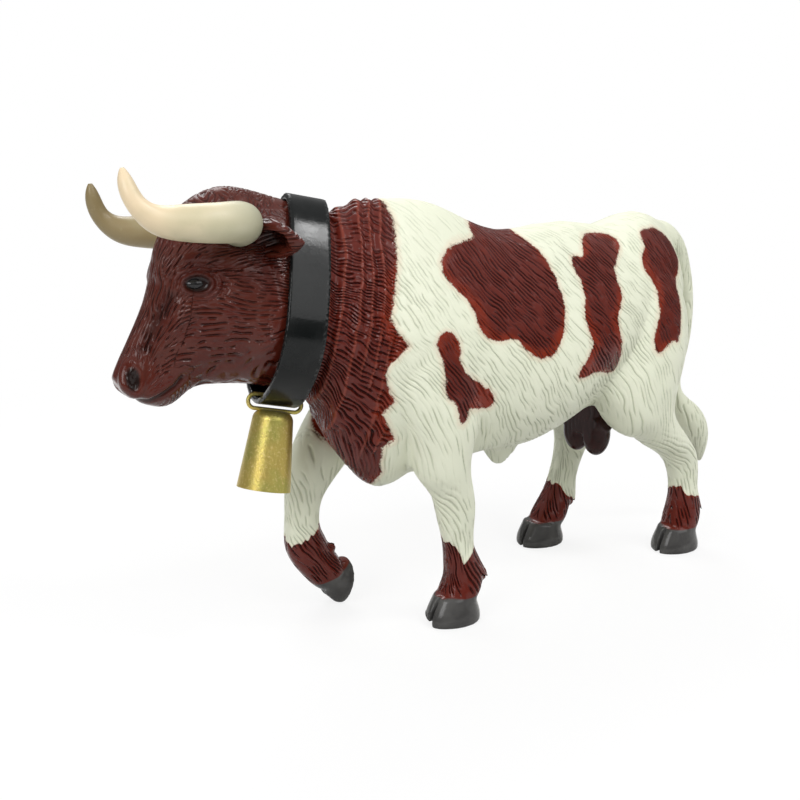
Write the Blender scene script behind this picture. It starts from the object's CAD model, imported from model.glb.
import math
import bmesh
import bpy
import numpy as np
from mathutils import Matrix, Vector


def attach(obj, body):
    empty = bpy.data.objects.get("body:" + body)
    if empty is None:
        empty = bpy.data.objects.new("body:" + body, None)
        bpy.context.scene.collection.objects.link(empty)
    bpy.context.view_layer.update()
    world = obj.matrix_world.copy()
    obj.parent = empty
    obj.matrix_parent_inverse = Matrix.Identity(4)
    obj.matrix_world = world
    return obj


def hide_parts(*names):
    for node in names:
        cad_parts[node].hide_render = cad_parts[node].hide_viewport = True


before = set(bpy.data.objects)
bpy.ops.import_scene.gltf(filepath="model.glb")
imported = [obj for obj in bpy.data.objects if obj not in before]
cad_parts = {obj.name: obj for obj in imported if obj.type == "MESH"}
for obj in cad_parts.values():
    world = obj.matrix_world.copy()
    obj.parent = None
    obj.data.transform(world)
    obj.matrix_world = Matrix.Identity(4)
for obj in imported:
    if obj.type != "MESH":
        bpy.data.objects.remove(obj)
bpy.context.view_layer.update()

# Camera: it stands at the figurine's left and front, a little above its back, as in the photograph,
# about 30 cm from its middle. Its place is in metres, its turn in degrees and its lens in mm.
CAMERA_PLACE = (-0.202151, -0.23225, 0.116404)
CAMERA_TURN = (77.0, 0.0, -39.0)
CAMERA_LENS, SENSOR_WIDTH = 58.5, 36.0
NEAREST, FARTHEST = 0.01, 20.0
camera = bpy.data.objects.new("camera", bpy.data.cameras.new("camera"))
camera.location = CAMERA_PLACE
camera.rotation_euler = [math.radians(angle) for angle in CAMERA_TURN]
camera.data.lens = CAMERA_LENS
camera.data.sensor_width = SENSOR_WIDTH
camera.data.clip_start = NEAREST
camera.data.clip_end = FARTHEST
bpy.context.collection.objects.link(camera)
bpy.context.scene.camera = camera

# Hide: the moulded vinyl skin of neck, barrel, legs and tail. The fur is carved into the mould as
# long strokes that run back and down, and heavy folds hang round the neck. It is cast in cream
# vinyl, and the brown patches and socks are sprayed on, thin and orange-red at their edges.
MM = 0.001
SKIN_GRAIN = 0.36
# The barrel's middle, in mm, round which its girth is unrolled, and the radius that it is given.
MIDLINE, GIRTH_HEIGHT, GIRTH_RADIUS = -9.3, 62.0, 25.0


def cad_shell(*nodes):
    """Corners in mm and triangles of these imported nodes."""
    spots, faces, start = [], [], 0
    for node in nodes:
        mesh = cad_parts[node].data
        mesh.calc_loop_triangles()
        spot = np.empty(len(mesh.vertices) * 3, np.float32)
        face = np.empty(len(mesh.loop_triangles) * 3, np.int32)
        mesh.vertices.foreach_get("co", spot)
        mesh.loop_triangles.foreach_get("vertices", face)
        spots.append(spot.reshape(-1, 3) / MM)
        faces.append(face.reshape(-1, 3) + start)
        start += len(mesh.vertices)
    return np.concatenate(spots), np.concatenate(faces)


def new_piece(name, spots, faces):
    """A new object from corners in mm and a list of faces."""
    mesh = bpy.data.meshes.new(name)
    mesh.from_pydata((np.asarray(spots) * MM).tolist(), [], [tuple(face) for face in faces])
    mesh.update()
    piece = bpy.data.objects.new(name, mesh)
    bpy.context.collection.objects.link(piece)
    return piece


def cast(name, grain, *nodes):
    """One closed skin round these nodes, with its faces about grain mm wide."""
    rough = new_piece(name + "_mould", *cad_shell(*nodes))
    remesh = rough.modifiers.new("skin", "REMESH")
    remesh.mode = "VOXEL"
    remesh.voxel_size = grain * MM
    remesh.use_smooth_shade = True
    evaluated = rough.evaluated_get(bpy.context.evaluated_depsgraph_get())
    mesh = bpy.data.meshes.new_from_object(evaluated)
    piece = bpy.data.objects.new(name, mesh)
    bpy.context.collection.objects.link(piece)
    bpy.data.objects.remove(rough)
    return piece


def read_skin(piece):
    """Corners in mm and edges of a piece."""
    mesh = piece.data
    spots = np.empty(len(mesh.vertices) * 3, np.float32)
    edges = np.empty(len(mesh.edges) * 2, np.int32)
    mesh.vertices.foreach_get("co", spots)
    mesh.edges.foreach_get("vertices", edges)
    return spots.reshape(-1, 3).astype(np.float64) / MM, edges.reshape(-1, 2)


def set_skin(piece, spots):
    piece.data.vertices.foreach_set("co", (spots * MM).astype(np.float32).ravel())
    piece.data.update()


def outward(piece):
    """The direction in which each corner faces."""
    facing = np.empty(len(piece.data.vertices) * 3, np.float32)
    piece.data.vertex_normals.foreach_get("vector", facing)
    return facing.reshape(-1, 3).astype(np.float64)


def paint_masks(piece, **masks):
    """Keeps these values with the piece's corners, under their names, for its paint to read."""
    for name, amount in masks.items():
        layer = piece.data.attributes.new(name, "FLOAT", "POINT")
        layer.data.foreach_set("value", amount.astype(np.float32))


def softened(spots, edges, share, rounds):
    """Corners eased towards their neighbours, by share, to melt the creases between solids."""
    size = len(spots)
    first, second = edges[:, 0], edges[:, 1]
    count = np.maximum(np.bincount(edges.ravel(), minlength=size), 1)
    spots = spots.copy()
    for _ in range(rounds):
        for axis in range(3):
            line = spots[:, axis]
            total = np.bincount(first, line[second], size) + np.bincount(second, line[first], size)
            spots[:, axis] = line + share * (total / count - line)
    return spots


def ease(low, high, value):
    """0 below low, 1 above high, smooth between them."""
    share = np.clip((value - low) / (high - low), 0, 1)
    return share * share * (3 - 2 * share)


def lattice(i, j, k, seed):
    """A fixed random number from 0 to 1 for each lattice cell."""
    mixed = (i.astype(np.uint32) * np.uint32(374761393) + j.astype(np.uint32) * np.uint32(668265263)
             + k.astype(np.uint32) * np.uint32(2246822519) + np.uint32(seed * 7919 + 17))
    mixed ^= mixed >> np.uint32(13)
    mixed *= np.uint32(1274126177)
    mixed ^= mixed >> np.uint32(16)
    return mixed / 4294967295.0


def cloud(u, v, w, seed):
    """Smooth random relief from -1 to 1 that changes over about one unit."""
    corner = [np.floor(c).astype(np.int64) for c in (u, v, w)]
    part = [c - b for c, b in zip((u, v, w), corner)]
    part = [p * p * (3 - 2 * p) for p in part]
    total = 0
    for di in (0, 1):
        for dj in (0, 1):
            for dk in (0, 1):
                weight = ((part[0] if di else 1 - part[0]) * (part[1] if dj else 1 - part[1])
                          * (part[2] if dk else 1 - part[2]))
                total = total + weight * lattice(corner[0] + di, corner[1] + dj, corner[2] + dk, seed)
    return 2 * total - 1


COMB_WAYS = 16
# How far apart in the cloud of depths two neighbouring strokes are read, so that they differ.
STROKE_STEP = 1.37


def comb(along, down, slope, width, length, seed):
    """Carved hair: grooves width mm apart that run at slope degrees below the length. along and down
    are mm over the unrolled skin. Grooves are counted in two sets, even and odd ways, and share is
    the odd one's part; where one set turns, its part is 0. hair says how deep they are."""
    step = math.pi / COMB_WAYS
    place = np.mod(np.radians(slope), math.pi) / step
    whole = np.floor(place).astype(int)
    share = ease(0.25, 0.75, place - whole)
    odd_share = np.where(whole % 2 == 0, share, 1 - share)
    flat = down * 0
    waver = 0.55 * cloud(along / 5, down / 5, flat, seed)
    waver = waver + 0.25 * cloud(along / 1.9, down / 1.9, flat, seed + 2)
    counts, hair = [], 0
    for way, weight in ((whole + whole % 2, 1 - odd_share), (whole + 1 - whole % 2, odd_share)):
        across = (down * np.cos(way * step) - along * np.sin(way * step)) / width
        run = along * np.cos(way * step) + down * np.sin(way * step)
        stroke = np.round(across + waver) * STROKE_STEP
        depth = ease(-0.50, 0.35, cloud(run / length, stroke, way * 3.7, seed + 1))
        counts.append(across + waver)
        hair = hair + weight * depth
    return counts[0], counts[1], odd_share, hair


def groove_at(count):
    """1 in the bottom of a groove, which lies at each whole count, and 0 between two."""
    return 1 - ease(0.0, 0.34, np.abs(count - np.round(count)))


def gap_squared(across, down, start, end):
    """The squared distance in mm from the straight run between two points."""
    (x0, y0), (x1, y1) = start, end
    run_x, run_y = x1 - x0, y1 - y0
    share = np.clip(((across - x0) * run_x + (down - y0) * run_y) / (run_x ** 2 + run_y ** 2), 0, 1)
    return (across - x0 - share * run_x) ** 2 + (down - y0 - share * run_y) ** 2


def inside_by(across, down, outline):
    """How far in mm each point lies inside a closed outline, less than 0 outside it."""
    outline = np.array(outline, float)
    nearest = np.full(len(across), 1e9)
    crossings = np.zeros(len(across), int)
    for (x0, y0), (x1, y1) in zip(outline, np.roll(outline, -1, axis=0)):
        nearest = np.minimum(nearest, gap_squared(across, down, (x0, y0), (x1, y1)))
        if y1 != y0:
            cut = ((y0 > down) != (y1 > down)) & (across < (x1 - x0) * (down - y0) / (y1 - y0) + x0)
            crossings += cut
    return np.sqrt(nearest) * np.where(crossings % 2 == 1, 1, -1)


def from_lines(across, down, line):
    """Distance in mm from an open line."""
    nearest = np.full(len(across), 1e9)
    for start, end in zip(line, line[1:]):
        nearest = np.minimum(nearest, gap_squared(across, down, start, end))
    return np.sqrt(nearest)


# Patches, as length along the animal and girth down from its spine, both in mm. The left side's
# girth counts up and the right side's down, so that a patch may lie across the spine.
NECK_PATCH = (
    (-60, 80), (-33.5, 79), (-33.5, 73.1), (-33.1, 70.8), (-34.2, 69.7), (-34.9, 65.6), (-32.8, 63.0),
    (-34.9, 59.5), (-36.7, 56.4), (-34.7, 51.5), (-36.4, 47.0), (-37.3, 42.2), (-37.2, 39.3),
    (-34.3, 35.4), (-32.3, 33.2), (-34.4, 28.8), (-35.6, 23.8), (-32.4, 15.2), (-30.6, 11.8),
    (-29.0, 7.4), (-27.8, 4.7), (-27.7, 0.0), (-28.2, -5), (-30.5, -10), (-31.5, -15), (-35, -21),
    (-34.4, -26), (-32.0, -31), (-35.2, -36), (-37.8, -42), (-35, -48), (-36.5, -54), (-33.5, -60),
    (-34.8, -66), (-33.2, -72), (-33.5, -79), (-60, -80),
)
SHOULDER_PATCH = (
    (-25.2, 31.4), (-23.5, 30.4), (-21.6, 30.7), (-20.3, 33), (-19.9, 36.9), (-20.1, 40.2),
    (-18.2, 43.8), (-13.9, 46.9), (-11, 49.5), (-10.2, 51.5), (-11.1, 53.4), (-13.5, 53.5), (-18.5, 51),
    (-19.2, 52.8), (-20.4, 54), (-22, 53.3), (-22, 50), (-24.5, 48.6), (-25.1, 46.4), (-24.5, 43.5),
    (-24.6, 40.3), (-25.6, 36.9), (-25.8, 33.4),
)
RIB_PATCH = (
    (-7, 5.9), (-4, 2.5), (-5.5, -3.5), (0.5, -2), (-0.5, -9), (6, -6), (10, -8.5), (10.5, -1),
    (8.3, 5.2), (10.8, 9.5), (12.9, 13.8), (13.3, 19.4), (13.7, 25.9), (12.4, 32.2), (10.4, 37.2),
    (7.3, 41.2), (3.4, 42.3), (0.4, 41.2), (-1.9, 38.7), (-3.6, 35.6), (-6.8, 35.4), (-10, 35.6),
    (-12.6, 33.8), (-14, 30.2), (-14.4, 25.9), (-15.3, 22.9), (-18, 19), (-19.6, 16.6), (-20, 14.5),
    (-18.8, 11.6), (-14.9, 9.7), (-6.8, 8.4),
)
HIP_PATCH = (
    (28.5, 9), (32.4, 8.1), (36.6, 8.2), (39.3, 9.5), (38.8, 12.4), (36, 15.9), (32.8, 19.3),
    (32.3, 22.9), (33, 26.8), (31.5, 30.3), (29.1, 33.6), (29.6, 38.2), (30.6, 42.7), (30.7, 48.5),
    (29.5, 51.4), (22.2, 48.1), (17.8, 48.5), (14.3, 49), (15, 46.5), (18.1, 43.1), (19.9, 40.2),
    (19, 36.7), (18.6, 32.2), (20.3, 26.8), (20.9, 23.2), (20.2, 19.9), (19.9, 16.9), (20.5, 15.2),
    (22.8, 15), (23.8, 16), (26, 11.8),
)
RUMP_PATCH = (
    (47, 10.6), (52.4, 9.7), (57.4, 9.9), (61.5, 11), (62, 14.5), (58.7, 20), (53.8, 25.8), (53.5, 32),
    (52.2, 37.6), (50.4, 44.4), (48.6, 42.8), (45.7, 44.5), (43.1, 46.6), (41.9, 45), (41.9, 40.8),
    (44.4, 35.7), (45.2, 30.1), (45.8, 25.2), (43.5, 21.7), (43.2, 18), (45.8, 15.6), (46.9, 12.7),
)
RIGHT_PATCHES = (
    ((-25, -33), (-20, -31), (-15, -36), (-13, -44), (-17, -50), (-19, -46), (-23, -50), (-26, -43)),
    ((-6, -15), (2, -13), (9, -17), (16, -16), (20, -24), (18, -33), (12, -38), (9, -45), (1, -47),
     (-4, -41), (-3, -34), (-11, -31), (-14, -24), (-11, -18)),
    ((33, -13), (41, -9), (49, -12), (57, -17), (55, -27), (49, -31), (50, -39), (45, -48), (39, -44),
     (35, -50), (29, -46), (31, -37), (27, -30), (31, -23), (28, -17)),
)


def rounded(outline):
    """The outline with its corners cut off twice, as an airbrush leaves them."""
    corners = np.array(outline, float)
    for _ in range(2):
        quarter = 0.25 * (np.roll(corners, -1, axis=0) - corners)
        corners = np.stack((corners + quarter, corners + 3 * quarter), axis=1).reshape(-1, 2)
    return corners


# The collar's way, middle and half width in mm: the neck's folds are counted from its rear rim.
COLLAR_AXIS = np.array((0.930107, -0.311215, -0.195053))
COLLAR_MIDDLE = np.array((-48.4, -4.4, 74.6))
COLLAR_HALF = 4.4
# Each fold: mm behind the collar, and the heights between which it shows. Between two folds the skin
# sags, and the crest of each stands out.
FOLD_SAG, FOLD_CREST = 0.55, 0.15
FOLDS = (
    (0.6, 40, 99), (3.3, 44, 99), (6.8, 46, 99), (9.4, 60, 99), (12.0, 56, 99), (14.6, 36, 72),
    (17.4, 40, 76),
)
# The hooves end at this height, and the raised one at a slanted line: a point on it, as along and up,
# and the way down the hoof.
HOOF_TOP = 6.5
RAISED_HOOF, RAISED_WAY = (-28, 10.2), (0.375, -0.927)
# How far inside a patch a point lies, in mm, where there is no paint at all.
NO_PAINT = -9.0
# Hair: its slope on the ribs in degrees below the animal's length, then the width, length and depth of
# a stroke in mm, the strokes in one turn round the neck and round a limb, and the neck's extra depth.
HAIR_SLOPE = 57
STROKE_WIDTH, STROKE_LENGTH, STROKE_DEPTH = 0.98, 3.2, 0.20
NECK_STROKES, LIMB_STROKES, NECK_DEPTH = 122, 28, 0.20
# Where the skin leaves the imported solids, in mm: it is drawn up at the belly and the brisket, hangs
# lower at the flank, and follows these rises along the back. The sheath stands at one place along it.
BELLY_LIFT, BRISKET_LIFT, FLANK_FALL, SHEATH_ALONG = 2.4, 1.9, 2.3, 8.4
# The sheath is narrower than its solid by these shares of its length and breadth. The tufts at the
# fetlocks stand out and hang down by so many mm.
SHEATH_SQUEEZE = (0.24, 0.22)
FORE_TUFT, HIND_TUFT = (2.5, -3.2), (1.3, -2.3)
LUMP_HEIGHT, FLANK_DEPTH = 0.12, 0.35
BACK_STATIONS = (-12, 5, 12, 18, 27, 34, 39, 44, 49, 53, 57, 61, 65, 72)
BACK_RISES = (0, 0.2, 1.0, 1.9, 2.1, 1.0, 0.2, 1.3, 2.3, 2.3, 1.3, 0.0, -1.0, -1.0)
# The furrows between the ribs: their places along the animal, depth and half width.
RIB_STATIONS, RIB_DEPTH, RIB_WIDTH = (-2.5, 3.0, 8.5, 14.0), 0.10, 1.7

# The skin is cast round all its solids at once, so that no seam shows, and the creases between them
# melt away. The feet keep more of their edges than the trunk.
HIDE_NODES = ("torso", "left_foreleg", "right_foreleg", "left_hind_leg", "right_hind_leg", "tail")
hide = cast("hide", SKIN_GRAIN, *HIDE_NODES)
spots, edges = read_skin(hide)
spots = softened(spots, edges, 0.36 + 0.18 * ease(9, 15, spots[:, 2]), rounds=9)
set_skin(hide, spots)
facing = outward(hide)
x, y, z = spots.T
side = y - MIDLINE
girth = GIRTH_RADIUS * np.arctan2(-side, z - GIRTH_HEIGHT)
behind = (spots - COLLAR_MIDDLE) @ COLLAR_AXIS - COLLAR_HALF

# How far inside a brown patch each corner lies, in mm. The patches' rims are a little ragged.
ragged_x = x + 0.30 * cloud(x / 1.1, y / 1.1, z / 1.1, 5)
ragged_girth = girth + 0.30 * cloud(x / 1.1, y / 1.1, z / 1.1, 6)
neck_brown = np.minimum(inside_by(ragged_x, ragged_girth, NECK_PATCH),
                        0.7 * (z - 33 - 1.1 * side))
neck_brown = np.where(x > -20, NO_PAINT, neck_brown)
body_brown = np.full(len(spots), NO_PAINT)
for outline in (SHOULDER_PATCH, RIB_PATCH, HIP_PATCH, RUMP_PATCH) + RIGHT_PATCHES:
    body_brown = np.maximum(body_brown, inside_by(ragged_x, ragged_girth, rounded(outline)))
body_brown = np.where((z < 36) | (x > 64), NO_PAINT, body_brown)
# The corners of the raised foreleg.
raised = (x < -26) & (y > -3.5) & (z < 46)
# The line inside each limb from the foot up, in mm. Each sock's top rim dips to a point on one side:
# its way and its half width in radians, then its lowest and highest height. The tail has no sock.
LIMBS = (
    (((-16.6, -22.3, 0), (-16.5, -22.3, 12), (-14.5, -22.3, 24), (-14.0, -21.5, 42)),
     -1.65, 1.1, 15.0, 19.4),
    (((61.5, -22.3, 0), (64.0, -22.3, 14), (66.0, -21.5, 24), (58.0, -19.0, 42)),
     -1.45, 1.1, 14.4, 17.0),
    (((37.5, 3.7, 0), (42.5, 3.7, 14), (46.0, 3.7, 24), (42.0, 3.0, 42)),
     -1.0, 1.1, 12.2, 15.8),
    (((-31.5, 3.5, 2), (-36.5, 3.5, 12), (-40.5, 3.5, 22), (-38.5, 3.5, 30), (-31.0, 3.5, 42)),
     -3.0, 2.2, 17.0, 21.4),
    (((87.0, MIDLINE, 16), (84.0, MIDLINE, 30), (77.0, MIDLINE, 52), (72.0, MIDLINE, 80)),
     0.0, 1.0, NO_PAINT, NO_PAINT),
)
nearest = np.full(len(spots), 1e9)
limb_turn = np.zeros(len(spots))
sock = np.full(len(spots), NO_PAINT)
ragged = 1.1 * cloud(x / 1.6, y / 1.6, z / 7, 7) + 0.5 * cloud(x / 0.7, y / 0.7, z / 4, 8)
for line, dip, spread, lowest, highest in LIMBS:
    line = np.array(line, float)
    from_x = x - np.interp(z, line[:, 2], line[:, 0])
    from_y = y - np.interp(z, line[:, 2], line[:, 1])
    gap = from_x ** 2 + from_y ** 2
    turn = np.arctan2(from_y, from_x)
    off = np.abs(np.mod(turn - dip + math.pi, 2 * math.pi) - math.pi)
    rim = lowest + (highest - lowest) * np.minimum(off / spread, 1)
    limb_turn = np.where(gap < nearest, np.abs(np.arctan2(from_y, -from_x + 0.001)), limb_turn)
    sock = np.where(gap < nearest, rim + ragged - z, sock)
    nearest = np.minimum(nearest, gap)
sock = np.where(x > 72, NO_PAINT, sock)

# How far down the hoof each corner lies, in mm, from a slightly uneven coronet.
coronet = 0.35 * cloud(x / 2.5, y / 2.5, z / 2.5, 9)
raised_hoof = (x - RAISED_HOOF[0]) * RAISED_WAY[0] + (z - RAISED_HOOF[1]) * RAISED_WAY[1]
hoof = np.where(raised, raised_hoof, HOOF_TOP - z) + coronet
brown = np.maximum(np.maximum(neck_brown, body_brown), 2.6 * sock)

# Which way the hair lies, in degrees below the animal's length, over the unrolled trunk.
down = np.abs(girth)
low_ribs = ease(44, 62, down) * ease(-6, 2, x) * ease(34, 26, x)
slope = HAIR_SLOPE + 5 * ease(-4, -16, x) - 16 * low_ribs + 8 * ease(32, 45, x)
slope = slope + (36 - slope) * ease(12, 3, down)
slope = slope + 6 * cloud(x / 14, y / 14, z / 14, 11)
comb_even, comb_odd, comb_share, hair = comb(x, down, slope, STROKE_WIDTH, STROKE_LENGTH, seed=20)

# On the legs and the tail the hair runs along the limb, on the neck it lies across the folds.
limb_share = ease(40, 27, z) * (1 - ease(-6, 0, x) * ease(30, 24, x))
limb_share = np.maximum(limb_share, raised * ease(46, 40, z))
limb_share = np.maximum(limb_share, ease(69, 73, x + 0.10 * (z - 60)))
limb_count = limb_turn * LIMB_STROKES / (2 * math.pi) + 0.42 * z * (x < 70)
limb_count = limb_count + 0.6 * cloud(x / 5, y / 5, z / 5, 14) + 0.25 * cloud(x / 2, y / 2, z / 2, 18)
from_axis = spots - COLLAR_MIDDLE
from_axis = from_axis - np.outer(from_axis @ COLLAR_AXIS, COLLAR_AXIS)
neck_turn = np.arctan2(from_axis[:, 1], from_axis[:, 2])
fold_zone = ease(-0.4, 0.5, neck_brown) * ease(-2.5, -1.0, behind)
stroke_zone = fold_zone * ease(50, 59, z + 0.8 * behind)
fold_zone = fold_zone * ease(38, 50, z + 0.25 * behind)
neck_count = neck_turn * NECK_STROKES / (2 * math.pi) + 0.40 * behind + cloud(x / 2.5, y / 2.5, z / 4, 15)
limb_hair = ease(-0.5, 0.35, cloud(np.round(limb_count) * STROKE_STEP, z / 2.6, z * 0, 16))
neck_hair = ease(-0.75, 0.05, cloud(np.round(neck_count) * STROKE_STEP, behind / 1.5, z * 0, 17))
extra_count = np.where(stroke_zone > 0, neck_count, limb_count)
extra_share = np.where(stroke_zone > 0, stroke_zone, limb_share)
hair = hair + (np.where(stroke_zone > 0, neck_hair, limb_hair) - hair) * extra_share
hair = hair * ease(-0.2, -1.4, hoof) * (0.6 + 0.4 * ease(88, 78, z))
combed = groove_at(comb_even) * (1 - comb_share) + groove_at(comb_odd) * comb_share
combed = (combed + (groove_at(extra_count) - combed) * extra_share) * hair

# The folds wander a little along the neck. Each has a crest, and the skin sags between two of them.
wander = 0.85 * cloud(x / 8, y / 8, z / 8, 12) + 0.2 * cloud(x / 2.5, y / 2.5, z / 2.5, 19)
crest = np.zeros(len(spots))
rise = np.full(len(spots), 9.0)
for back, bottom, top in FOLDS:
    shows = ease(bottom - 3, bottom + 3, z + 2 * wander) * ease(top + 3, top - 3, z)
    spread = np.abs(behind - back - wander)
    crest = np.maximum(crest, shows * np.exp(-(spread / 0.36) ** 2))
    rise = np.minimum(rise, spread + 6 * (1 - shows))
sag = ease(0.2, 1.5, rise)

# The belly is drawn up behind the forelegs, the brisket between them too, and the sheath stands out
# of the belly as a blunt lobe. The fold of the flank hangs lower before the thigh, and the loin and
# the croup are raised a little.
facing_down = ease(0.3, -0.4, facing[:, 2])
belly = np.exp(-((x + 1) / 10) ** 4) * ease(40, 33, z) * ease(17, 12, np.abs(side))
lobe = np.hypot(x - SHEATH_ALONG, side * 0.8)
lift = belly * BELLY_LIFT * ease(2.4, 7.5, lobe)
sheath = ease(34.5, 30.5, z) * (lobe < 8)
squeeze_x = -(x - SHEATH_ALONG) * SHEATH_SQUEEZE[0] * sheath
squeeze_y = -side * SHEATH_SQUEEZE[1] * sheath
brisket = np.exp(-((x + 22) / 5) ** 2) * ease(40, 34, z) * ease(14, 10, np.abs(side))
lift = lift + BRISKET_LIFT * brisket * facing_down
flank_fold = np.exp(-((x - 38.5) / 4.5) ** 2) * ease(51, 45, z) * ease(30, 35, z) * ease(4, 7, np.abs(side))
lift = lift - FLANK_FALL * flank_fold * facing_down
lift = lift + np.interp(x, BACK_STATIONS, BACK_RISES) * ease(66, 84, z)
# A tuft stands out behind each fetlock and ends in a blunt point over the notch above the heel.
tuft = ease(17.5, 12.6, z) * ease(11.7, 12.5, z) * ease(0.1, 0.8, facing[:, 0]) * (x < 72) * ~raised
tuft_x = np.where(x < 0, FORE_TUFT[0], HIND_TUFT[0]) * tuft
tuft_z = np.where(x < 0, FORE_TUFT[1], HIND_TUFT[1]) * tuft

# All that is carved: the hair, the neck's folds, faint lumps, the furrows of the ribs and the hollow
# of the flank. The hooves stay smooth, and the feet stay on the ground.
lump = cloud(x / 16, y / 16, z / 16, 13)
relief = -STROKE_DEPTH * combed - fold_zone * NECK_DEPTH * combed
relief = relief + fold_zone * (FOLD_CREST * crest - FOLD_SAG * sag)
relief = relief + LUMP_HEIGHT * lump * ease(30, 45, z)
for station in RIB_STATIONS:
    furrow = np.exp(-((x - station + 0.35 * (z - 55)) / RIB_WIDTH) ** 2) * ease(44, 50, z) * ease(76, 66, z)
    relief = relief - RIB_DEPTH * furrow
flank_hollow = np.exp(-((x - 27) / 7) ** 2 - ((z - 50) / 9) ** 2)
relief = relief - FLANK_DEPTH * flank_hollow * (np.abs(side) > 8)
spots = spots + facing * (relief * ease(-0.2, -1.2, hoof) * ease(0.5, 2.5, z))[:, None]
spots[:, 0] += squeeze_x + tuft_x
spots[:, 1] += squeeze_y
spots[:, 2] = np.maximum(spots[:, 2] + lift + tuft_z, 0)
set_skin(hide, spots)
paint_masks(hide, brown=np.clip(brown, -6, 6), hoof=np.clip(hoof, -6, 6), crest=crest * fold_zone,
            hair=hair, comb_even=comb_even, comb_odd=comb_odd, comb_share=comb_share,
            extra_count=extra_count, extra_share=extra_share)


def new_material(name):
    """A bare material with its shader, and a hand to add nodes to it."""
    material = bpy.data.materials.new(name)
    material.use_nodes = True
    tree = material.node_tree
    tree.nodes.clear()
    out = tree.nodes.new("ShaderNodeOutputMaterial")
    shader = tree.nodes.new("ShaderNodeBsdfPrincipled")
    tree.links.new(shader.outputs["BSDF"], out.inputs["Surface"])
    return material, tree, shader


def mask_node(tree, name):
    node = tree.nodes.new("ShaderNodeAttribute")
    node.attribute_name = name
    return node.outputs["Fac"]


def skin_place(tree):
    return tree.nodes.new("ShaderNodeTexCoord").outputs["Object"]


def stretch(tree, value, low, high, out_low=0.0, out_high=1.0, smooth=True):
    """value from low..high brought to out_low..out_high."""
    node = tree.nodes.new("ShaderNodeMapRange")
    node.interpolation_type = "SMOOTHSTEP" if smooth else "LINEAR"
    for socket, number in (("From Min", low), ("From Max", high), ("To Min", out_low), ("To Max", out_high)):
        node.inputs[socket].default_value = number
    tree.links.new(value, node.inputs["Value"])
    return node.outputs["Result"]


def blend_colour(tree, share, first, second, mode="MIX"):
    """first where share is 0 and second where it is 1; each is a colour or a socket."""
    node = tree.nodes.new("ShaderNodeMix")
    node.data_type = "RGBA"
    node.blend_type = mode
    for socket, given in ((node.inputs[0], share), (node.inputs[6], first), (node.inputs[7], second)):
        if isinstance(given, bpy.types.NodeSocket):
            tree.links.new(given, socket)
        elif isinstance(given, (int, float)):
            socket.default_value = given
        else:
            socket.default_value = (*given, 1.0)
    return node.outputs[2]


def sums(tree, kind, first, second):
    """One sum of two values; each is a number or a socket."""
    node = tree.nodes.new("ShaderNodeMath")
    node.operation = kind
    for socket, given in zip(node.inputs, (first, second)):
        if isinstance(given, bpy.types.NodeSocket):
            tree.links.new(given, socket)
        else:
            socket.default_value = given
    return node.outputs[0]


def noise_node(tree, place, scale, detail=3.0, rough=0.55):
    node = tree.nodes.new("ShaderNodeTexNoise")
    node.inputs["Scale"].default_value = scale
    node.inputs["Detail"].default_value = detail
    node.inputs["Roughness"].default_value = rough
    tree.links.new(place, node.inputs["Vector"])
    return node.outputs["Fac"]


# Sprayed paint on vinyl: fine speckle that the airbrush leaves, faint blotches of thicker paint,
# and the tiny orange-peel of the satin varnish. Hide, head and scrotum all use it.
PEEL_DEPTH = 0.06
spray = bpy.data.node_groups.new("sprayed paint", "ShaderNodeTree")
for name, way in (("Mottle size", "INPUT"), ("Peel height", "INPUT"),
                  ("Speckle", "OUTPUT"), ("Mottle", "OUTPUT")):
    spray.interface.new_socket(name, in_out=way, socket_type="NodeSocketFloat")
spray.interface.new_socket("Normal", in_out="OUTPUT", socket_type="NodeSocketVector")
entry = spray.nodes.new("NodeGroupInput")
leave = spray.nodes.new("NodeGroupOutput")
spray_place = skin_place(spray)
speckle = noise_node(spray, spray_place, 2600.0, detail=2.0)
mottle = spray.nodes.new("ShaderNodeTexNoise")
mottle.inputs["Detail"].default_value = 4.0
spray.links.new(spray_place, mottle.inputs["Vector"])
spray.links.new(entry.outputs["Mottle size"], mottle.inputs["Scale"])
peel = noise_node(spray, spray_place, 900.0)
peel_bump = spray.nodes.new("ShaderNodeBump")
peel_bump.inputs["Distance"].default_value = PEEL_DEPTH * MM
spray.links.new(entry.outputs["Peel height"], peel_bump.inputs["Strength"])
spray.links.new(peel, peel_bump.inputs["Height"])
spray.links.new(speckle, leave.inputs["Speckle"])
spray.links.new(mottle.outputs["Fac"], leave.inputs["Mottle"])
spray.links.new(peel_bump.outputs["Normal"], leave.inputs["Normal"])


def sprayed(tree, mottle_size, peel_height):
    node = tree.nodes.new("ShaderNodeGroup")
    node.node_tree = spray
    node.inputs["Mottle size"].default_value = mottle_size
    node.inputs["Peel height"].default_value = peel_height
    return node.outputs["Speckle"], node.outputs["Mottle"], node.outputs["Normal"]


# Carved hair: the grooves of the mould, drawn sharp between the corners of the skin.
carving = bpy.data.node_groups.new("carved hair", "ShaderNodeTree")
carving.interface.new_socket("Depth", in_out="INPUT", socket_type="NodeSocketFloat")
carving.interface.new_socket("Groove", in_out="OUTPUT", socket_type="NodeSocketFloat")
entry = carving.nodes.new("NodeGroupInput")
leave = carving.nodes.new("NodeGroupOutput")


def groove_lines(tree, count):
    """1 where the count is whole, 0 between."""
    part = sums(tree, "FRACT", sums(tree, "ADD", count, 0.5), 0.0)
    gap = sums(tree, "ABSOLUTE", sums(tree, "SUBTRACT", part, 0.5), 0.0)
    return stretch(tree, gap, 0.0, 0.32, 1.0, 0.0)


def part_way(tree, share, first, second):
    step = sums(tree, "MULTIPLY", sums(tree, "SUBTRACT", second, first), share)
    return sums(tree, "ADD", first, step)


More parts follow.
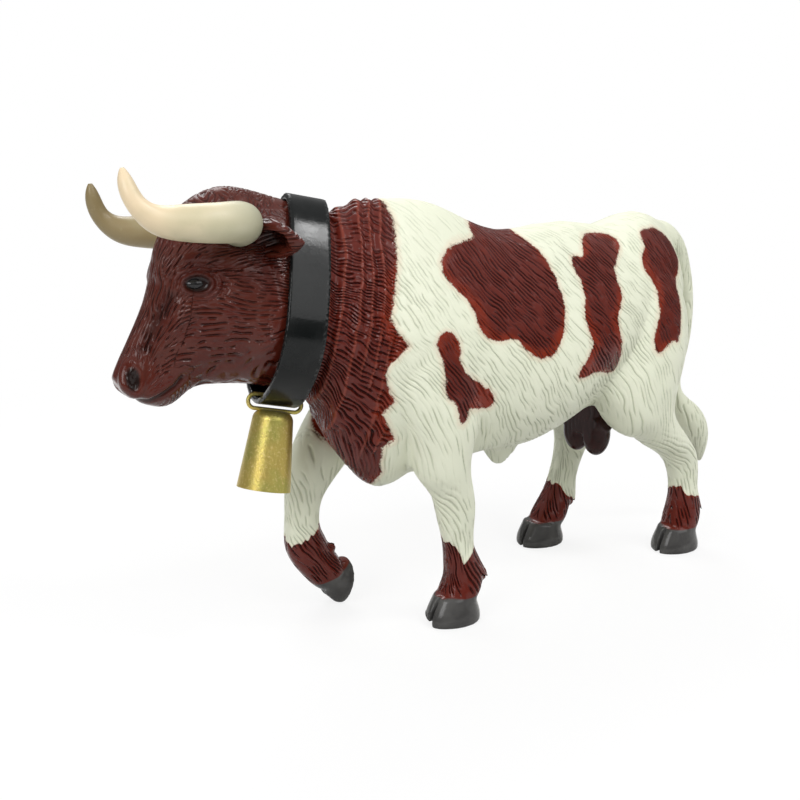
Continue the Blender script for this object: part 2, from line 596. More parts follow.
even_lines, odd_lines, extra_lines = [groove_lines(carving, mask_node(carving, name))
                                      for name in ("comb_even", "comb_odd", "extra_count")]
lines = part_way(carving, mask_node(carving, "comb_share"), even_lines, odd_lines)
lines = part_way(carving, mask_node(carving, "extra_share"), lines, extra_lines)
lines = sums(carving, "MULTIPLY", lines, mask_node(carving, "hair"))
carving.links.new(sums(carving, "MULTIPLY", lines, entry.outputs["Depth"]), leave.inputs["Groove"])


def carved(tree, normal, depth_mm, share=1.0):
    """The grooves as a value and, to share of depth_mm, as a normal over another one."""
    node = tree.nodes.new("ShaderNodeGroup")
    node.node_tree = carving
    node.inputs["Depth"].default_value = 1.0
    bump = tree.nodes.new("ShaderNodeBump")
    bump.invert = True
    bump.inputs["Distance"].default_value = depth_mm * MM
    tree.links.new(sums(tree, "MULTIPLY", node.outputs["Groove"], share), bump.inputs["Height"])
    tree.links.new(normal, bump.inputs["Normal"])
    return node.outputs["Groove"], bump.outputs["Normal"]


# The hide's paint: cream vinyl, shaded grey-green in the grooves, and a maroon that is thick in the
# middle of a patch, and thin and orange at its rim. Overspray warms the cream round it, the crests of
# the folds are rubbed lighter, and the hooves are grey. The brown is glossier than the cream.
CREAM = (0.80, 0.82, 0.66)
CREAM_WORN = (0.72, 0.76, 0.60)
CREAM_SHADE = (0.40, 0.43, 0.29)
OVERSPRAY = (0.62, 0.26, 0.14)
ORANGE_EDGE = (0.20, 0.021, 0.007)
MAROON = (0.085, 0.010, 0.006)
MAROON_RIDGE = (0.112, 0.015, 0.009)
MAROON_DEEP = (0.018, 0.002, 0.001)
FOLD_RUBBED = (0.22, 0.042, 0.024)
HOOF_GREY = (0.052, 0.050, 0.049)
HOOF_RUBBED = (0.085, 0.083, 0.080)
CREAM_ROUGHNESS, BROWN_ROUGHNESS, HIDE_SHINE = 0.40, 0.15, 0.24
# How deep the drawn grooves look, in mm, and the shares of it on cream and on brown.
HIDE_GROOVE, CREAM_SHARE, BROWN_SHARE = 0.17, 0.85, 2.5

vinyl, tree, shader = new_material("painted_hide")
speckle, mottle, peel_normal = sprayed(tree, mottle_size=160.0, peel_height=0.35)
brown_mm = mask_node(tree, "brown")
hoof_mm = mask_node(tree, "hoof")
crest_share = mask_node(tree, "crest")
broad = noise_node(tree, skin_place(tree), 62.0, detail=1.0)
fuzzy = sums(tree, "ADD", brown_mm, stretch(tree, speckle, 0.2, 0.8, -0.35, 0.35, smooth=False))
brown_share = stretch(tree, fuzzy, -0.25, 0.30)
bump_share = stretch(tree, brown_share, 0.0, 1.0, CREAM_SHARE, BROWN_SHARE)
groove_share, carved_normal = carved(tree, peel_normal, HIDE_GROOVE, bump_share)
thick = sums(tree, "ADD", fuzzy, stretch(tree, broad, 0.38, 0.62, -1.7, 1.6))
thick = sums(tree, "ADD", thick, stretch(tree, mottle, 0.32, 0.68, -0.7, 0.7, smooth=False))
thick_share = stretch(tree, thick, -0.6, 2.2)
cream = blend_colour(tree, stretch(tree, groove_share, 0.1, 1.0, 0.0, 0.58), CREAM, CREAM_SHADE)
cream = blend_colour(tree, stretch(tree, mottle, 0.35, 0.75, 0.0, 0.22), cream, CREAM_WORN)
maroon = blend_colour(tree, stretch(tree, groove_share, 0.0, 0.35), MAROON_RIDGE, MAROON)
maroon = blend_colour(tree, stretch(tree, groove_share, 0.25, 0.95, 0.0, 0.72), maroon, MAROON_DEEP)
maroon = blend_colour(tree, stretch(tree, crest_share, 0.25, 1.0, 0.0, 0.75), maroon, FOLD_RUBBED)
thin = blend_colour(tree, stretch(tree, groove_share, 0.2, 0.95, 0.0, 0.75), ORANGE_EDGE, MAROON)
paint = blend_colour(tree, thick_share, thin, maroon)
cream = blend_colour(tree, stretch(tree, fuzzy, -1.6, 0.0, 0.0, 0.22), cream, OVERSPRAY)
paint = blend_colour(tree, brown_share, cream, paint)
grey = blend_colour(tree, stretch(tree, mottle, 0.3, 0.7), HOOF_GREY, HOOF_RUBBED)
hoof_share = stretch(tree, hoof_mm, -0.15, 0.25)
paint = blend_colour(tree, hoof_share, paint, grey)
tree.links.new(paint, shader.inputs["Base Color"])
glossy = sums(tree, "MAXIMUM", brown_share, hoof_share)
gloss = stretch(tree, glossy, 0.0, 1.0, CREAM_ROUGHNESS, BROWN_ROUGHNESS)
tree.links.new(gloss, shader.inputs["Roughness"])
shader.inputs["Specular IOR Level"].default_value = HIDE_SHINE
tree.links.new(carved_normal, shader.inputs["Normal"])
hide.data.materials.append(vinyl)
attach(hide, "figure")
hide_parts(*HIDE_NODES)

# Head: a separate moulding that plugs into the neck under the collar. It carries the ears, the
# lids round the eyes, the nostrils, the mouth line and the curly poll, all carved into the mould.
HEAD_GRAIN = 0.30
# The point where the head sits in the neck, the same point in the head's own straight frame, and how
# the head is turned and tipped there, in degrees.
HEAD_SEAT = np.array((-38.86, -5.913, 80.0))
HEAD_SEAM = np.array((-38.45, 0.0, 80.0))
HEAD_YAW, HEAD_ROLL = -17, -7.5
HEAD_TURN = np.array(Matrix.Rotation(math.radians(HEAD_YAW), 3, "Z")
                     @ Matrix.Rotation(math.radians(HEAD_ROLL), 3, "X"))
# Places in the head's own frame, as along and up, in mm.
EYE = (-69.3, 79.3)
NOSTRIL = (-82.6, 60.9)
MOUTH_LINE = ((-82.0, 56.4), (-79.6, 56.0), (-76.8, 57.2), (-74.2, 58.8), (-72.6, 60.4))
# Half the skull's width at these heights, behind the plain ears.
SKULL_HEIGHTS = (78, 80, 82, 84, 86, 88, 90, 92, 96)
SKULL_HALVES = (12.8, 12.2, 11.5, 10.8, 9.9, 8.6, 7.5, 6.6, 5.0)
# Strokes of hair: their width, length and depth, and how deep the curls of the poll are, in mm.
FACE_STROKE_WIDTH, FACE_STROKE_LENGTH, FACE_STROKE_DEPTH, CURL_DEPTH = 0.84, 1.3, 0.16, 0.32
# How deep the eye's socket, the mouth and the nostrils are, and how far the lip and the nostrils' rims
# stand out, in mm.
SOCKET_DEPTH, MOUTH_DEPTH, NOSTRIL_DEPTH = 0.55, 0.55, 0.85
LIP_RISE, NOSTRIL_RISE = 0.24, 0.40
# Ridges and furrows on both sides of the face: the line that each follows, its rise and half width.
FACE_LINES = {
    "brow": (((-75.8, 81.5), (-73.8, 84.4), (-70.0, 85.6), (-66.0, 84.4)), 0.60, 1.5),
    "under eye": (((-72.8, 77.0), (-70.0, 75.2), (-66.5, 75.4)), -0.26, 0.8),
    "cheekbone": (((-70.5, 74.5), (-74.0, 71.0), (-77.0, 66.5)), 0.75, 1.3),
    "nose hollow": (((-74.5, 77.0), (-77.8, 71.5), (-79.8, 67.0)), -0.45, 1.2),
    "jaw hollow": (((-72.5, 60.5), (-66.0, 62.5), (-58.0, 63.5)), -0.30, 1.1),
    "jaw edge": (((-54.5, 82.0), (-53.6, 75.0), (-55.0, 67.0), (-59.0, 63.5)), 0.36, 1.2),
}
# Folds round the eye: their distance from its middle, rise and half width, and how much of each still
# shows under the eye.
LIDS = (
    (2.90, 0.56, 0.46, 1.0), (3.75, -0.50, 0.32, 0.35), (4.40, 0.34, 0.34, 0),
    (5.05, -0.42, 0.30, 0), (5.70, 0.26, 0.32, 0), (6.3, -0.34, 0.28, 0),
)


def to_head(spots):
    """Along, aside and up in the head's own straight frame."""
    return (spots - HEAD_SEAT) @ HEAD_TURN + HEAD_SEAM


def from_head(spots):
    return (np.asarray(spots, float) - HEAD_SEAM) @ HEAD_TURN.T + HEAD_SEAT


head = cast("head_skin", HEAD_GRAIN, "head")
spots, edges = read_skin(head)
spots = softened(spots, edges, np.full(len(spots), 0.45), rounds=4)
set_skin(head, spots)

# The plain packed ears are drawn back into the skull, as the ears below take their place. Each of
# those runs from its root to its tip, as along, aside and up.
EAR_ROOT = np.array((-57.0, 7.6, 87.2))
EAR_TIP = np.array((-50.3, 21.8, 86.4))
EAR_WAY = (EAR_TIP - EAR_ROOT) / np.linalg.norm(EAR_TIP - EAR_ROOT)
along, aside, up = to_head(spots).T
flat = np.abs(aside)
skull_half = np.interp(up, SKULL_HEIGHTS, SKULL_HALVES)
is_ear = (flat > skull_half + 0.3) & (along > -62.5) & (along < -46.5) & (up > 80.5) & (up < 94)
back = np.where(is_ear, (flat - skull_half + 0.4) / EAR_WAY[1], 0)
along, up, flat = along - back * EAR_WAY[0], up - back * EAR_WAY[2], flat - back * EAR_WAY[1]
seat_x = EAR_ROOT[0] + (flat - EAR_ROOT[1]) / EAR_WAY[1] * EAR_WAY[0]
along = np.where(is_ear, seat_x + 0.7 * (along - seat_x), along)
up = np.where(is_ear, EAR_ROOT[2] + 0.7 * (up - EAR_ROOT[2]), up)
spots = from_head(np.stack((along, np.sign(aside) * flat, up), axis=1))
set_skin(head, spots)

# The hair runs back over the cheeks and steeply on the nose, and lies in curls on the poll.
facing = outward(head)
along, aside, up = to_head(spots).T
flat = np.abs(aside)
cheek_side = ease(3.0, 5.5, flat)
nose_line = ease(11, 3, along + 76 + 0.39 * (85 - up))
lean = 66 * nose_line + (12 * ease(76, 84, up) - 12) * (1 - nose_line)
lean = lean + 20 * cloud(along / 6, aside / 6, up / 6, 31)
comb_even, comb_odd, comb_share, hair = comb(along, 0.8 * flat - up, -lean, FACE_STROKE_WIDTH,
                                             FACE_STROKE_LENGTH, seed=120)
poll = ease(-76, -70, along) * ease(88.5, 92, up + 0.10 * (along + 60)) * ease(-44, -50, along)
poll = poll * (flat < 14)
curl_count = 3.4 * cloud(along / 3.6, aside / 3.6, up / 3.6, 33)
curl_count = curl_count + 0.8 * cloud(along / 1.4, aside / 1.4, up / 1.4, 34)
curls = groove_at(curl_count + along / 2.4) * ease(-0.8, -0.1, cloud(along / 1.3, aside / 1.3, up / 1.3, 35))
smooth_muzzle = ease(68, 62, up) * ease(-76.5, -80, along)
eye_out = np.hypot(along - EYE[0], (up - EYE[1]) / 0.70)
mouth = from_lines(along, up, MOUTH_LINE)

# On the forehead and the bridge of the nose the strokes run down, counted from the middle.
facing_straight = facing @ HEAD_TURN
front = ease(0.80, 0.50, np.abs(facing_straight[:, 1])) * ease(-0.35, 0.0, facing_straight[:, 2])
front = front * ease(-56, -64, along)
front_count = aside / 0.86 + 1.1 * cloud(aside / 3.2, up / 4, along / 4, 37)
front_hair = ease(-0.5, 0.3, cloud(np.round(front_count) * STROKE_STEP, up / 1.9, along / 4, 38))
hair = hair + (front_hair - hair) * front
hair = hair * ease(1.0, 2.6, mouth) * (1 - poll) * (1 - 0.92 * smooth_muzzle)
hair = hair * (1 - np.exp(-(eye_out / 4.6) ** 4) * cheek_side)
fur = groove_at(comb_even) * (1 - comb_share) + groove_at(comb_odd) * comb_share
fur = (fur + (groove_at(front_count) - fur) * front) * hair
relief = (-FACE_STROKE_DEPTH * fur - CURL_DEPTH * curls * poll) * ~is_ear + 0.5 * poll * ease(11, 4, flat)

# The lids and the folds round the eye, the ridges and hollows of the face, the mouth, the nostrils.
upper = ease(-5, 1, (along - EYE[0]) * 0.5 + up - EYE[1])
for number, (out, rise, width, below) in enumerate(LIDS):
    shows = upper * ease(-1.2, 0.4, cloud(along / 3, up / 3, up * 0 + number, 36))
    shows = np.maximum(shows, below)
    relief = relief + cheek_side * rise * shows * np.exp(-((eye_out - out) / width) ** 2)
relief = relief - cheek_side * SOCKET_DEPTH * np.exp(-(eye_out / 2.3) ** 6)
along_line = {}
for label, (line, rise, width) in FACE_LINES.items():
    along_line[label] = np.exp(-(from_lines(along, up, line) / width) ** 2)
    relief = relief + cheek_side * rise * along_line[label]
relief = relief - MOUTH_DEPTH * np.exp(-(mouth / 0.42) ** 2)
relief = relief + LIP_RISE * np.exp(-((mouth - 1.2) / 0.7) ** 2) * cheek_side
nostril_out = np.hypot(along - NOSTRIL[0], (up - NOSTRIL[1]) / 1.75)
nostril_side = ease(2.4, 3.4, flat)
relief = relief + NOSTRIL_RISE * np.exp(-((nostril_out - 2.0) / 0.55) ** 2) * nostril_side
relief = relief - NOSTRIL_DEPTH * np.exp(-(nostril_out / 1.15) ** 4) * nostril_side
spots = spots + facing * relief[:, None]
set_skin(head, spots)

# Where the paint is darkest: in the nostrils, round the eyes, in the mouth and beside the nose.
shade = np.maximum(ease(1.60, 1.15, nostril_out) * nostril_side, np.exp(-(eye_out / 2.7) ** 8) * cheek_side)
shade = np.maximum(shade, 0.8 * np.exp(-(mouth / 0.45) ** 2))
shade = np.maximum(shade, 0.55 * along_line["nose hollow"] * cheek_side)
paint_masks(head, shade=np.clip(shade, 0, 1), curls=curls * poll, poll=poll,
            hair=hair, comb_even=comb_even, comb_odd=comb_odd, comb_share=comb_share,
            extra_count=front_count, extra_share=front)

# The head's paint: the same brown, redder in blotches. It is nearly black in the nostrils and the
# mouth and round the eyes, and duller on the curly poll.
HEAD_BROWN = (0.086, 0.017, 0.010)
HEAD_RED = (0.076, 0.010, 0.005)
HEAD_DEEP = (0.022, 0.004, 0.002)
HOLLOW_BLACK = (0.010, 0.003, 0.002)
HEAD_GROOVE, HEAD_SHINE = 0.33, 0.26
head_paint, tree, shader = new_material("painted_head")
speckle, mottle, peel_normal = sprayed(tree, mottle_size=210.0, peel_height=0.45)
groove_share, carved_normal = carved(tree, peel_normal, HEAD_GROOVE)
groove_share = sums(tree, "MAXIMUM", groove_share, mask_node(tree, "curls"))
skin = blend_colour(tree, stretch(tree, mottle, 0.35, 0.65), HEAD_BROWN, HEAD_RED)
skin = blend_colour(tree, stretch(tree, groove_share, 0.15, 0.95, 0.0, 0.72), skin, HEAD_DEEP)
skin = blend_colour(tree, mask_node(tree, "shade"), skin, HOLLOW_BLACK)
tree.links.new(skin, shader.inputs["Base Color"])
shader.inputs["Specular IOR Level"].default_value = HEAD_SHINE
gloss = sums(tree, "ADD", stretch(tree, speckle, 0.3, 0.7, 0.15, 0.22),
             stretch(tree, mask_node(tree, "poll"), 0.0, 1.0, 0.0, 0.16))
tree.links.new(gloss, shader.inputs["Roughness"])
tree.links.new(carved_normal, shader.inputs["Normal"])
head.data.materials.append(head_paint)
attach(head, "figure")
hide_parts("head")

# Ears: thick pointed leaves cast with the head, held level behind the horns. Their front is a cup
# with a rolled rim, and their back is rounded.
# Each ring: share of the way to the tip, then half depth and half thickness in mm.
EAR_RINGS = (
    (0.00, 2.8, 2.1), (0.15, 3.7, 2.4), (0.32, 4.5, 2.5), (0.50, 4.5, 2.3), (0.66, 3.7, 1.8),
    (0.80, 2.6, 1.3), (0.90, 1.5, 0.85), (0.96, 0.8, 0.5), (1.00, 0.2, 0.2),
)
EAR_SPOKES, EAR_STEPS = 72, 48
EAR_WALL, EAR_ARCH = 0.7, 0.8
EAR_FACES = np.array((-0.75, 0.30, -0.50))
EAR_STROKE_WIDTH, EAR_STROKE_DEPTH = 0.85, 0.10


def between_rings(steps, spokes):
    """The faces of a skin whose rings of corners follow each other."""
    faces = []
    for near in range(0, steps * spokes, spokes):
        for spoke in range(spokes):
            after = (spoke + 1) % spokes
            faces.append((near + spoke, near + after, near + spokes + after, near + spokes + spoke))
    return faces


def turned_out(piece, merge=0.0):
    """Turns the piece's faces outwards, after merging corners that lie within merge metres."""
    form = bmesh.new()
    form.from_mesh(piece.data)
    if merge:
        bmesh.ops.remove_doubles(form, verts=form.verts, dist=merge)
    bmesh.ops.recalc_face_normals(form, faces=form.faces)
    form.to_mesh(piece.data)
    form.free()
    piece.data.shade_smooth()


def ear_leaf(name, sign):
    """Closed rings from root to tip; the front of each ring sinks into the cup."""
    front = EAR_FACES - EAR_WAY * (EAR_WAY @ EAR_FACES)
    front = front / np.linalg.norm(front)
    upward = np.cross(EAR_WAY, front)
    rows = np.array(EAR_RINGS)
    spots, cup, counts = [], [], []
    for step in range(EAR_STEPS + 1):
        share = 1 - (1 - step / EAR_STEPS) ** 1.5
        deep, thick = np.interp(share, rows[:, 0], rows[:, 1]), np.interp(share, rows[:, 0], rows[:, 2])
        middle = EAR_ROOT + (EAR_TIP - EAR_ROOT) * share
        middle = middle + np.array((0, 0, EAR_ARCH * math.sin(math.pi * share)))
        hollow = math.sin(math.pi * min(max((share - 0.04) / 0.74, 0), 1)) ** 0.6
        for spoke in range(EAR_SPOKES):
            turn = 2 * math.pi * spoke / EAR_SPOKES
            height, out = math.sin(turn), math.cos(turn)
            sunk = hollow * float(1 - ease(0.30, 0.74, abs(height))) * (out > 0)
            push = thick * out * (1 - sunk) + (EAR_WALL - thick) * sunk
            spot = middle + front * push + upward * deep * height
            spots.append((spot[0], sign * spot[1], spot[2]))
            cup.append(sunk)
            counts.append(deep * height / EAR_STROKE_WIDTH)
    ends = [range(first, first + EAR_SPOKES) for first in (0, EAR_STEPS * EAR_SPOKES)]
    piece = new_piece(name, from_head(spots), between_rings(EAR_STEPS, EAR_SPOKES) + ends)
    turned_out(piece)
    straight = np.array(spots)
    counts = np.array(counts) + 0.5 * cloud(*(straight / 3).T, 41)
    hair = 0.8 * ease(-0.7, 0.2, cloud(straight[:, 0] / 3, straight[:, 1] / 3, straight[:, 2] / 0.8, 42))
    spots, edges = read_skin(piece)
    set_skin(piece, spots - outward(piece) * (EAR_STROKE_DEPTH * groove_at(counts) * hair)[:, None])
    zero = np.zeros(len(spots))
    paint_masks(piece, shade=0.80 * ease(0.40, 0.95, np.array(cup)), curls=zero, poll=zero,
                hair=hair, comb_even=counts, comb_odd=counts, comb_share=zero)
    piece.data.materials.append(head_paint)
    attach(piece, "figure")


for name, sign in (("left_ear", -1), ("right_ear", 1)):
    ear_leaf(name, sign)

# Eyes: two almond domes moulded with the head and set within the lids. They are painted glossy
# black, and pinched at their front and back corners.
EYE_RADII = (2.60, 1.75, 1.70)
EYE_ASIDE = 8.30
EYE_RINGS, EYE_SPOKES = 14, 32
CORNER_PINCH = 0.28
EYE_BLACK = (0.006, 0.006, 0.007)
EYE_FLECK = (0.030, 0.028, 0.026)


def eyeball(name, sign):
    """An almond dome: a round of rings that narrows to a point at the front and back corners."""
    spots = []
    for ring in range(EYE_RINGS + 1):
        tilt = math.pi * ring / EYE_RINGS
        for spoke in range(EYE_SPOKES):
            turn = 2 * math.pi * spoke / EYE_SPOKES
            pinch = 1 - CORNER_PINCH * abs(math.cos(turn)) ** 3
            spots.append((EYE[0] + EYE_RADII[0] * math.sin(tilt) * math.cos(turn),
                          sign * (EYE_ASIDE + EYE_RADII[1] * math.cos(tilt)),
                          EYE[1] + EYE_RADII[2] * math.sin(tilt) * math.sin(turn) * pinch))
    piece = new_piece(name, from_head(spots), between_rings(EYE_RINGS, EYE_SPOKES))
    turned_out(piece, merge=0.0001 * MM)
    return piece


eye_paint, tree, shader = new_material("eye_gloss")
fleck = noise_node(tree, skin_place(tree), 1500.0)
black = blend_colour(tree, stretch(tree, fleck, 0.4, 0.8), EYE_BLACK, EYE_FLECK)
tree.links.new(black, shader.inputs["Base Color"])
shader.inputs["Roughness"].default_value = 0.06
shader.inputs["Specular IOR Level"].default_value = 0.35
for name, sign in (("left_eye", -1), ("right_eye", 1)):
    eye = eyeball(name, sign)
    eye.data.materials.append(eye_paint)
    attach(eye, "figure")

# Horns: smooth ivory-coloured mouldings whose tapered roots are let into the head. The paint is
# pale grey-cream at the root, warmer along the middle, peach on the left tip and olive on the right.
# Each horn: its tip and its root in mm, then the colours of its root, its middle and its tip.
HORNS = (
    ("left_horn", (-87.4, -10.0, 103.6), (-57.5, -12.0, 91.5),
     (0.44, 0.44, 0.31), (0.60, 0.56, 0.39), (0.82, 0.66, 0.44)),
    ("right_horn", (-76.6, 28.0, 98.4), (-52.5, 11.0, 90.0),
     (0.42, 0.36, 0.19), (0.44, 0.35, 0.19), (0.24, 0.18, 0.08)),
)
# The paint changes over these distances from the root and from the tip, in mm.
ROOT_FADE, TIP_FADE = (2, 18), (6, 24)
IVORY_SPECK = (0.50, 0.44, 0.28)
IVORY_STAIN = (0.40, 0.40, 0.24)


def grained(tree, shader, grain, strength, depth_mm):
    """Gives the surface a fine grain of this depth."""
    bump = tree.nodes.new("ShaderNodeBump")
    bump.inputs["Strength"].default_value = strength
    bump.inputs["Distance"].default_value = depth_mm * MM
    tree.links.new(grain, bump.inputs["Height"])
    tree.links.new(bump.outputs["Normal"], shader.inputs["Normal"])


for name, tip, root, root_colour, ivory_colour, tip_colour in HORNS:
    ivory, tree, shader = new_material(name + "_ivory")
    place = skin_place(tree)
    reach = []
    for spot in (tip, root):
        node = tree.nodes.new("ShaderNodeVectorMath")
        node.operation = "DISTANCE"
        tree.links.new(place, node.inputs[0])
        node.inputs[1].default_value = [c * MM for c in spot]
        reach.append(node.outputs["Value"])
    fine = noise_node(tree, place, 700.0, detail=5.0, rough=0.65)
    broad = noise_node(tree, place, 90.0, detail=2.0)
    near, far = [mm * MM for mm in ROOT_FADE]
    colour = blend_colour(tree, stretch(tree, reach[1], near, far), root_colour, ivory_colour)
    near, far = [mm * MM for mm in TIP_FADE]
    colour = blend_colour(tree, stretch(tree, reach[0], near, far, 1.0, 0.0), colour, tip_colour)
    colour = blend_colour(tree, stretch(tree, fine, 0.55, 0.75, 0.0, 0.18), colour, IVORY_SPECK)
    colour = blend_colour(tree, stretch(tree, broad, 0.45, 0.70, 0.0, 0.35), colour, IVORY_STAIN)
    tree.links.new(colour, shader.inputs["Base Color"])
    tree.links.new(stretch(tree, fine, 0.3, 0.7, 0.34, 0.46), shader.inputs["Roughness"])
    grained(tree, shader, fine, strength=0.25, depth_mm=0.10)
    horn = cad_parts[name]
    horn.data.materials.clear()
    horn.data.materials.append(ivory)

# Scrotum: two dark glossy lobes, a moulding of their own whose neck is let in between the hind legs.
# They hang straight from the belly, with fine wrinkles across them.
SCROTUM_GRAIN = 0.22
LOBES_ALONG, LOBES_BACK, LOBES_FRONT = 40.6, 44.7, 37.3
LOBES_LEFT, LOBES_RIGHT = -16.3, -2.3
WRINKLE_DEPTH = 0.07
LOBE_BROWN = (0.030, 0.007, 0.006)
LOBE_DARK = (0.021, 0.005, 0.004)
WRINKLE_BLACK = (0.015, 0.004, 0.003)
scrotum = cast("scrotum_skin", SCROTUM_GRAIN, "scrotum")
spots, edges = read_skin(scrotum)
spots = softened(spots, edges, np.full(len(spots), 0.5), rounds=22)
set_skin(scrotum, spots)
lobe_top = ease(33.5, 39.5, spots[:, 2])
deep = (spots[:, 0] - LOBES_ALONG - 0.4) * (1.02 + 0.6 * lobe_top)
wide = (spots[:, 1] - MIDLINE) * (1 + lobe_top)
spots[:, 0] = np.clip(LOBES_ALONG + deep, LOBES_FRONT, LOBES_BACK)
spots[:, 1] = np.clip(MIDLINE + wide, LOBES_LEFT, LOBES_RIGHT)
spots = softened(spots, edges, np.full(len(spots), 0.5), rounds=6)
set_skin(scrotum, spots)
facing = outward(scrotum)
wrinkle = groove_at(spots[:, 0] / 1.1 + spots[:, 1] / 1.3 + 0.8 * cloud(*(spots / 3).T, 200))
wrinkle = wrinkle * ease(-0.2, 0.6, cloud(*(spots / (1.2, 1.2, 4)).T, 201))
spots = spots - facing * (WRINKLE_DEPTH * wrinkle)[:, None]
set_skin(scrotum, spots)
paint_masks(scrotum, groove=wrinkle)
dark_skin, tree, shader = new_material("dark_skin")
speckle, mottle, peel_normal = sprayed(tree, mottle_size=240.0, peel_height=0.4)
skin = blend_colour(tree, stretch(tree, mottle, 0.35, 0.65), LOBE_BROWN, LOBE_DARK)
skin = blend_colour(tree, stretch(tree, mask_node(tree, "groove"), 0.2, 1.0, 0.0, 0.7), skin, WRINKLE_BLACK)
tree.links.new(skin, shader.inputs["Base Color"])
tree.links.new(stretch(tree, speckle, 0.3, 0.7, 0.18, 0.24), shader.inputs["Roughness"])
shader.inputs["Specular IOR Level"].default_value = 0.16
tree.links.new(peel_normal, shader.inputs["Normal"])
scrotum.data.materials.append(dark_skin)
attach(scrotum, "figure")
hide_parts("scrotum")

# Collar: a broad band of glossy black vinyl round the neck. Its rims are rounded over and rubbed a
# little grey, and its face is cloudy from handling.
COLLAR_GRAIN = 0.30
VINYL_BLACK = (0.004, 0.005, 0.005)
VINYL_GREY = (0.009, 0.010, 0.010)
RIM_RUBBED = (0.10, 0.10, 0.10)
collar = cast("collar_band", COLLAR_GRAIN, "collar_strap")
spots, edges = read_skin(collar)
spots = softened(spots, edges, np.full(len(spots), 0.5), rounds=5)
set_skin(collar, spots)
reach = np.abs((spots - COLLAR_MIDDLE) @ COLLAR_AXIS)
paint_masks(collar, rim=ease(3.6, 4.3, reach))
collar_black, tree, shader = new_material("collar_black")
place = skin_place(tree)
fine = noise_node(tree, place, 1400.0, detail=4.0)
broad = noise_node(tree, place, 180.0)
rubbed = sums(tree, "MULTIPLY", mask_node(tree, "rim"), stretch(tree, fine, 0.45, 0.75, 0.0, 0.5))
black = blend_colour(tree, stretch(tree, broad, 0.4, 0.7), VINYL_BLACK, VINYL_GREY)
black = blend_colour(tree, rubbed, black, RIM_RUBBED)
tree.links.new(black, shader.inputs["Base Color"])
tree.links.new(stretch(tree, broad, 0.35, 0.7, 0.12, 0.20), shader.inputs["Roughness"])
shader.inputs["Specular IOR Level"].default_value = 0.22
grained(tree, shader, fine, strength=0.35, depth_mm=0.05)
collar.data.materials.append(collar_black)
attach(collar, "figure")
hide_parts("collar_strap")

# Bell: an open bell that hangs on the strap by the loop over its crown. It is painted in grainy
# gold with a greenish cast.
BELL_GOLD = (0.50, 0.38, 0.10)
BELL_GREEN = (0.40, 0.36, 0.09)
GOLD_GRAIN = (0.70, 0.56, 0.25)
gold, tree, shader = new_material("bell_gold")
place = skin_place(tree)
fine = noise_node(tree, place, 1900.0, detail=4.0)
broad = noise_node(tree, place, 140.0)
colour = blend_colour(tree, stretch(tree, broad, 0.35, 0.65), BELL_GOLD, BELL_GREEN)
colour = blend_colour(tree, stretch(tree, fine, 0.5, 0.75, 0.0, 0.6), colour, GOLD_GRAIN)
tree.links.new(colour, shader.inputs["Base Color"])
shader.inputs["Metallic"].default_value = 0.75
tree.links.new(stretch(tree, fine, 0.3, 0.7, 0.30, 0.46), shader.inputs["Roughness"])
grained(tree, shader, fine, strength=0.6, depth_mm=0.08)
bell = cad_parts["bell"]
bell.data.materials.clear()
bell.data.materials.append(gold)

# Floor: a plain white sheet under the hooves, large enough to fill the view. It keeps a faint shadow,
# and away from the figurine it runs out to pure white. It throws less light up than it shows.
FLOOR_HALF, FLOOR_DROP = 3000.0, 0.01
# The part of its white that no shadow darkens: LEAST_GLOW up to the first distance from the figurine's
# middle and all of it past the second, in metres.
LEAST_GLOW, FADE_NEAR, FADE_FAR = 0.82, 0.10, 0.26
PAPER_SEEN = (0.85, 0.85, 0.85)
PAPER_LIT = (0.50, 0.50, 0.49)
FLOOR_CORNERS = [(i * FLOOR_HALF, j * FLOOR_HALF, -FLOOR_DROP)
                 for i, j in ((-1, -1), (1, -1), (1, 1), (-1, 1))]
floor = new_piece("floor", FLOOR_CORNERS, ((0, 1, 2, 3),))
paper, tree, shader = new_material("white_paper")
shader.inputs["Roughness"].default_value = 0.9
shader.inputs["Specular IOR Level"].default_value = 0.1
glow = tree.nodes.new("ShaderNodeEmission")
glow.inputs["Strength"].default_value = 1.0
path = tree.nodes.new("ShaderNodeLightPath")
seen = sums(tree, "MAXIMUM", path.outputs["Is Camera Ray"], path.outputs["Is Glossy Ray"])
seen = sums(tree, "MAXIMUM", seen, path.outputs["Is Transmission Ray"])
tree.links.new(blend_colour(tree, seen, PAPER_LIT, PAPER_SEEN), shader.inputs["Base Color"])
mixer = tree.nodes.new("ShaderNodeMixShader")
reach = tree.nodes.new("ShaderNodeVectorMath")
reach.operation = "LENGTH"
tree.links.new(skin_place(tree), reach.inputs[0])
bare = stretch(tree, reach.outputs["Value"], FADE_NEAR, FADE_FAR, LEAST_GLOW, 1.0)
tree.links.new(sums(tree, "MULTIPLY", path.outputs["Is Camera Ray"], bare), mixer.inputs[0])
tree.links.new(shader.outputs["BSDF"], mixer.inputs[1])
tree.links.new(glow.outputs["Emission"], mixer.inputs[2])
out = next(node for node in tree.nodes if node.type == "OUTPUT_MATERIAL")
tree.links.new(mixer.outputs["Shader"], out.inputs["Surface"])
floor.data.materials.append(paper)

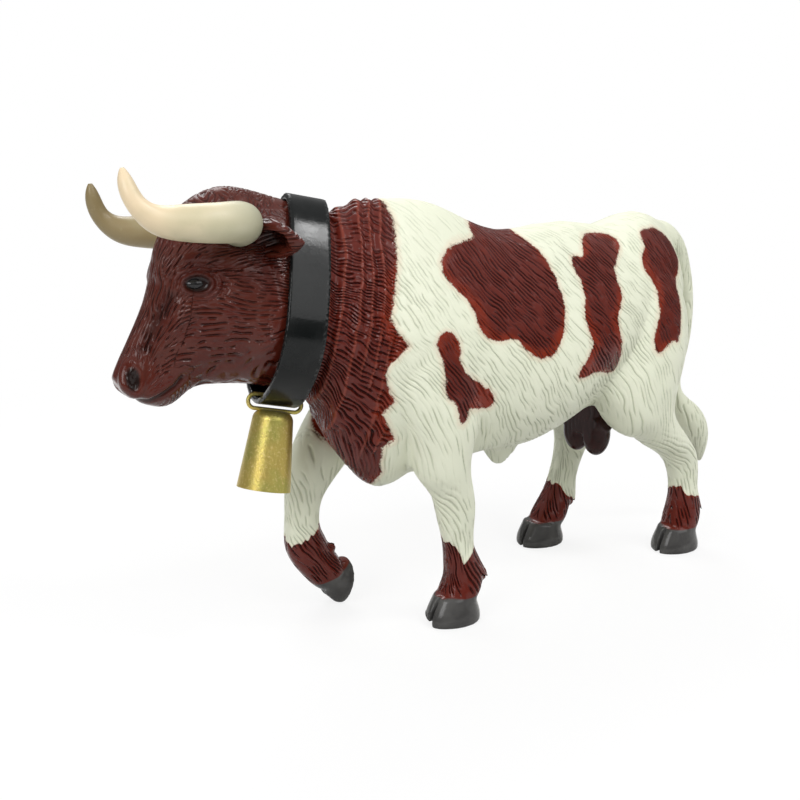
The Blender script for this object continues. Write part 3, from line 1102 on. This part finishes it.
# Light: a pale tent that is brighter overhead, and four soft boxes, the largest behind and above
# the camera.
# Each box: its place, the point that it lights and its size, in metres, and its watts.
SOFT_BOXES = (
    ("main_box", (0.10, -0.82, 0.70), (-0.02, 0, 0.07), (0.66, 0.66), 2.9),
    ("small_box", (0.30, -0.50, 0.92), (-0.02, 0, 0.07), (0.15, 0.15), 1.8),
    ("left_box", (-0.74, -0.26, 0.50), (-0.03, 0, 0.06), (0.40, 0.40), 2.9),
    ("back_box", (0.20, 0.60, 0.70), (0, 0, 0.05), (0.5, 0.4), 3.0),
)
TENT_LOW, TENT_HIGH = 0.14, 0.80
tent = bpy.data.worlds.new("tent")
tent.use_nodes = True
bpy.context.scene.world = tent
tree = tent.node_tree
tree.nodes.clear()
out = tree.nodes.new("ShaderNodeOutputWorld")
split = tree.nodes.new("ShaderNodeSeparateXYZ")
tree.links.new(tree.nodes.new("ShaderNodeTexCoord").outputs["Generated"], split.inputs[0])
soft = tree.nodes.new("ShaderNodeBackground")
soft.inputs["Color"].default_value = (1.0, 1.0, 1.0, 1.0)
tree.links.new(stretch(tree, split.outputs["Z"], -0.1, 0.9, TENT_LOW, TENT_HIGH), soft.inputs["Strength"])
white = tree.nodes.new("ShaderNodeBackground")
white.inputs["Color"].default_value = (1.0, 1.0, 1.0, 1.0)
path = tree.nodes.new("ShaderNodeLightPath")
mixer = tree.nodes.new("ShaderNodeMixShader")
tree.links.new(path.outputs["Is Camera Ray"], mixer.inputs[0])
tree.links.new(soft.outputs["Background"], mixer.inputs[1])
tree.links.new(white.outputs["Background"], mixer.inputs[2])
tree.links.new(mixer.outputs["Shader"], out.inputs["Surface"])

for name, place, aim, (width, height), watts in SOFT_BOXES:
    lamp = bpy.data.lights.new(name, "AREA")
    lamp.shape = "RECTANGLE"
    lamp.size = width
    lamp.size_y = height
    lamp.energy = watts
    box = bpy.data.objects.new(name, lamp)
    box.location = place
    box.rotation_euler = (Vector(aim) - Vector(place)).to_track_quat("-Z", "Y").to_euler()
    bpy.context.collection.objects.link(box)

bpy.context.scene.view_settings.view_transform = "Standard"
